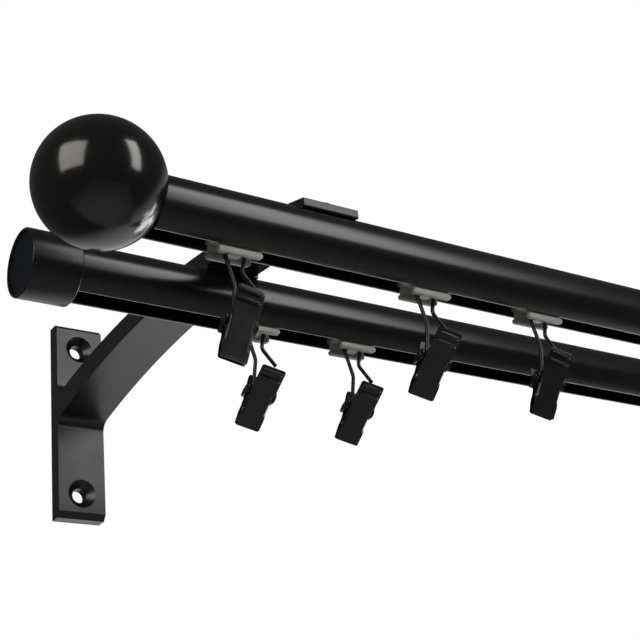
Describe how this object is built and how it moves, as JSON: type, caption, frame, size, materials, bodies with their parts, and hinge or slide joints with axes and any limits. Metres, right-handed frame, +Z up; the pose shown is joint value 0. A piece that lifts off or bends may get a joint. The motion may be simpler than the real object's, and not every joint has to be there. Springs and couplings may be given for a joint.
{
  "type": "double curtain track",
  "caption": "Wall-mounted double curtain track: two slotted round tubes under curved cast brackets, ball finials, push-on caps, and gliders with wire hooks and spring clips.",
  "frame": {"origin": "centre of the four wall holes of the two brackets, on the wall plane", "axes": "+X along the tubes, +Y into the wall, +Z up"},
  "size_m": [0.6888, 0.2654, 0.1243],
  "materials": {
    "bracket_paint": "satin black powder coat",
    "tube_paint": "satin black coat on aluminium",
    "ball_gloss": "gloss black lacquer",
    "inner_plastic": "matt moulded",
    "bright_steel": "zinc plated",
    "cap_plastic": "smooth black moulding",
    "screw_black": "black oxide",
    "glider_plastic": "milky translucent moulding",
    "wire_black": "black lacquered wire",
    "clip_black": "black lacquered pressed steel"
  },
  "bodies": {
    "track": {"bracket_left": "bracket_paint", "bracket_right": "bracket_paint", "front_tube": "tube_paint", "rear_tube": "tube_paint", "ball_left": "ball_gloss", "ball_right": "ball_gloss", "finial_plug_left": "inner_plastic", "finial_plug_right": "inner_plastic", "finial_stud_left": "bright_steel", "finial_stud_right": "bright_steel", "end_cap_left": "cap_plastic", "end_cap_right": "cap_plastic", "clamp_screws": "screw_black", "clamp_nuts": "bright_steel"},
    "front_1_glider": {"front_1_glider": "glider_plastic"},
    "front_1_hook": {"front_1_wire_hook": "wire_black"},
    "front_1_clip": {"front_1_clip_back_jaw": "clip_black", "front_1_clip_pin": "clip_black", "front_1_clip_spring": "bright_steel"},
    "front_1_jaw": {"front_1_clip_front_jaw": "clip_black"},
    "front_2_glider": {"front_2_glider": "glider_plastic"},
    "front_2_hook": {"front_2_wire_hook": "wire_black"},
    "front_2_clip": {"front_2_clip_back_jaw": "clip_black", "front_2_clip_pin": "clip_black", "front_2_clip_spring": "bright_steel"},
    "front_2_jaw": {"front_2_clip_front_jaw": "clip_black"},
    "front_3_glider": {"front_3_glider": "glider_plastic"},
    "front_3_hook": {"front_3_wire_hook": "wire_black"},
    "front_3_clip": {"front_3_clip_back_jaw": "clip_black", "front_3_clip_pin": "clip_black", "front_3_clip_spring": "bright_steel"},
    "front_3_jaw": {"front_3_clip_front_jaw": "clip_black"},
    "rear_1_glider": {"rear_1_glider": "glider_plastic"},
    "rear_1_hook": {"rear_1_wire_hook": "wire_black"},
    "rear_1_clip": {"rear_1_clip_back_jaw": "clip_black", "rear_1_clip_pin": "clip_black", "rear_1_clip_spring": "bright_steel"},
    "rear_1_jaw": {"rear_1_clip_front_jaw": "clip_black"},
    "rear_2_glider": {"rear_2_glider": "glider_plastic"},
    "rear_2_hook": {"rear_2_wire_hook": "wire_black"},
    "rear_2_clip": {"rear_2_clip_back_jaw": "clip_black", "rear_2_clip_pin": "clip_black", "rear_2_clip_spring": "bright_steel"},
    "rear_2_jaw": {"rear_2_clip_front_jaw": "clip_black"}
  },
  "joints": [
    {"name": "front_1_slide", "type": "slide", "parent": "track", "child": "front_1_glider", "axis": [1, 0, 0], "range_m": [-0.024, 0.033]},
    {"name": "front_1_hook_swing", "type": "hinge", "parent": "front_1_glider", "child": "front_1_hook", "pos_m": [-0.2637, -0.2383, -0.02467], "axis": [1, 0, 0], "range_deg": [-8, 8]},
    {"name": "front_1_clip_swing", "type": "hinge", "parent": "front_1_hook", "child": "front_1_clip", "pos_m": [-0.2635, -0.2383, -0.05487], "axis": [0.9606, -0.1045, -0.2574], "range_deg": [-15, 39]},
    {"name": "front_1_jaw_open", "type": "hinge", "parent": "front_1_clip", "child": "front_1_jaw", "pos_m": [-0.2635, -0.2383, -0.05487], "axis": [-0.9606, 0.1045, 0.2574], "range_deg": [0, 14], "stiffness_Nm_per_rad": 0.03, "springref_deg": -20.05},
    {"name": "front_2_slide", "type": "slide", "parent": "track", "child": "front_2_glider", "axis": [1, 0, 0], "range_m": [-0.033, 0.018]},
    {"name": "front_2_hook_swing", "type": "hinge", "parent": "front_2_glider", "child": "front_2_hook", "pos_m": [-0.1735, -0.2383, -0.02467], "axis": [1, 0, 0], "range_deg": [-8, 8]},
    {"name": "front_2_clip_swing", "type": "hinge", "parent": "front_2_hook", "child": "front_2_clip", "pos_m": [-0.1733, -0.2383, -0.05487], "axis": [0.9606, -0.1045, -0.2574], "range_deg": [-45, 9]},
    {"name": "front_2_jaw_open", "type": "hinge", "parent": "front_2_clip", "child": "front_2_jaw", "pos_m": [-0.1733, -0.2383, -0.05487], "axis": [-0.9606, 0.1045, 0.2574], "range_deg": [0, 14], "stiffness_Nm_per_rad": 0.03, "springref_deg": -20.05},
    {"name": "front_3_slide", "type": "slide", "parent": "track", "child": "front_3_glider", "axis": [1, 0, 0], "range_m": [-0.02, 0.395]},
    {"name": "front_3_hook_swing", "type": "hinge", "parent": "front_3_glider", "child": "front_3_hook", "pos_m": [-0.112, -0.2383, -0.02467], "axis": [1, 0, 0], "range_deg": [-8, 8]},
    {"name": "front_3_clip_swing", "type": "hinge", "parent": "front_3_hook", "child": "front_3_clip", "pos_m": [-0.1118, -0.2383, -0.05487], "axis": [0.9606, -0.1045, -0.2574], "range_deg": [-28, 26]},
    {"name": "front_3_jaw_open", "type": "hinge", "parent": "front_3_clip", "child": "front_3_jaw", "pos_m": [-0.1118, -0.2383, -0.05487], "axis": [-0.9606, 0.1045, 0.2574], "range_deg": [0, 14], "stiffness_Nm_per_rad": 0.03, "springref_deg": -20.05},
    {"name": "rear_1_slide", "type": "slide", "parent": "track", "child": "rear_1_glider", "axis": [1, 0, 0], "range_m": [-0.072, 0.014]},
    {"name": "rear_1_hook_swing", "type": "hinge", "parent": "rear_1_glider", "child": "rear_1_hook", "pos_m": [-0.2116, -0.166, -0.0159], "axis": [1, 0, 0], "range_deg": [-8, 8]},
    {"name": "rear_1_clip_swing", "type": "hinge", "parent": "rear_1_hook", "child": "rear_1_clip", "pos_m": [-0.2114, -0.166, -0.0461], "axis": [0.9606, -0.1045, -0.2574], "range_deg": [-50, 4]},
    {"name": "rear_1_jaw_open", "type": "hinge", "parent": "rear_1_clip", "child": "rear_1_jaw", "pos_m": [-0.2114, -0.166, -0.0461], "axis": [-0.9606, 0.1045, 0.2574], "range_deg": [0, 14], "stiffness_Nm_per_rad": 0.03, "springref_deg": -20.05},
    {"name": "rear_2_slide", "type": "slide", "parent": "track", "child": "rear_2_glider", "axis": [1, 0, 0], "range_m": [-0.016, 0.44]},
    {"name": "rear_2_hook_swing", "type": "hinge", "parent": "rear_2_glider", "child": "rear_2_hook", "pos_m": [-0.1601, -0.166, -0.0159], "axis": [1, 0, 0], "range_deg": [-8, 8]},
    {"name": "rear_2_clip_swing", "type": "hinge", "parent": "rear_2_hook", "child": "rear_2_clip", "pos_m": [-0.1599, -0.166, -0.0461], "axis": [0.9606, -0.1045, -0.2574], "range_deg": [-48, 6]},
    {"name": "rear_2_jaw_open", "type": "hinge", "parent": "rear_2_clip", "child": "rear_2_jaw", "pos_m": [-0.1599, -0.166, -0.0461], "axis": [-0.9606, 0.1045, 0.2574], "range_deg": [0, 14], "stiffness_Nm_per_rad": 0.03, "springref_deg": -20.05}
  ]
}
